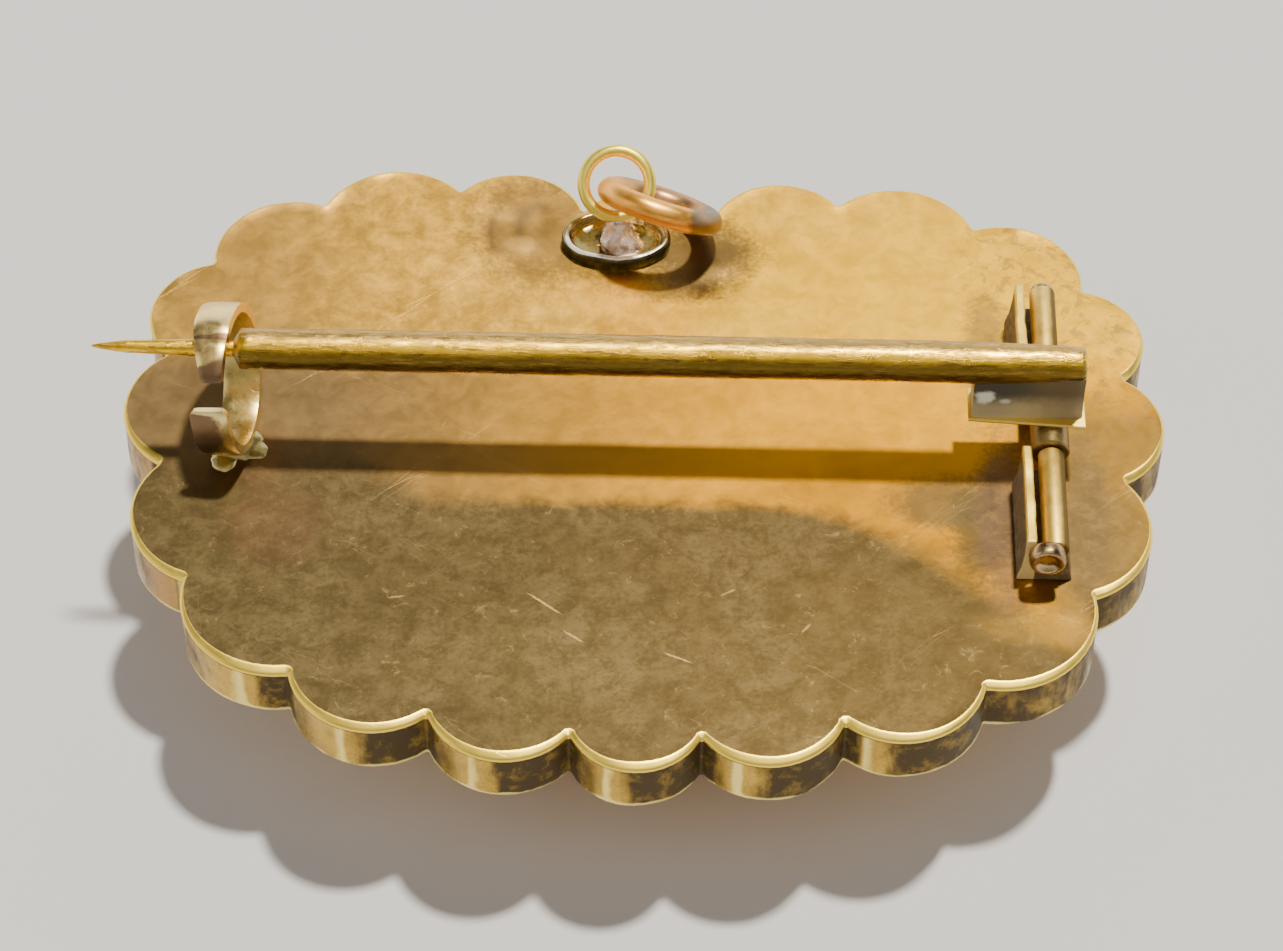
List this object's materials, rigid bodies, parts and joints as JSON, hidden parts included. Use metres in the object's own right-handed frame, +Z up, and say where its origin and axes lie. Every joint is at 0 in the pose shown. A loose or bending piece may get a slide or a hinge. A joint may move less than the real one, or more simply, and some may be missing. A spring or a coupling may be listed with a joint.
{
  "type": "locket brooch",
  "caption": "Scalloped oval locket brooch lying on its glazed front, with its plain back plate, hinged pin, curled catch and chain ring upwards.",
  "frame": {"origin": "centre of the scalloped outline, on the plane that the front bezel rests on", "axes": "+Z up through the back plate, +X along the width towards the pin's hinge, +Y towards the chain ring"},
  "size_m": [0.0407, 0.0297, 0.0138],
  "materials": {
    "back_gold": "worn polish",
    "front_gold": "worn polish",
    "window_glass": "polished",
    "panel": "plain",
    "pin_gold": "worn polish",
    "rivet_gold": "worn",
    "ring_gold": "worn polish"
  },
  "bodies": {
    "brooch": {"case": "back_gold", "front_frame": "front_gold", "locket_glass": "window_glass", "locket_panel": "panel", "hinge_rivet": "rivet_gold", "jump_ring": "ring_gold"},
    "pin": {"pin_stem": "pin_gold"}
  },
  "joints": [
    {"name": "pin_hinge", "type": "hinge", "parent": "brooch", "child": "pin", "pos_m": [0.0154, 0.00065, 0.00972], "axis": [0, 1, 0], "range_deg": [-5.5, 0], "stiffness_Nm_per_rad": 0.1, "springref_deg": 8.59}
  ]
}
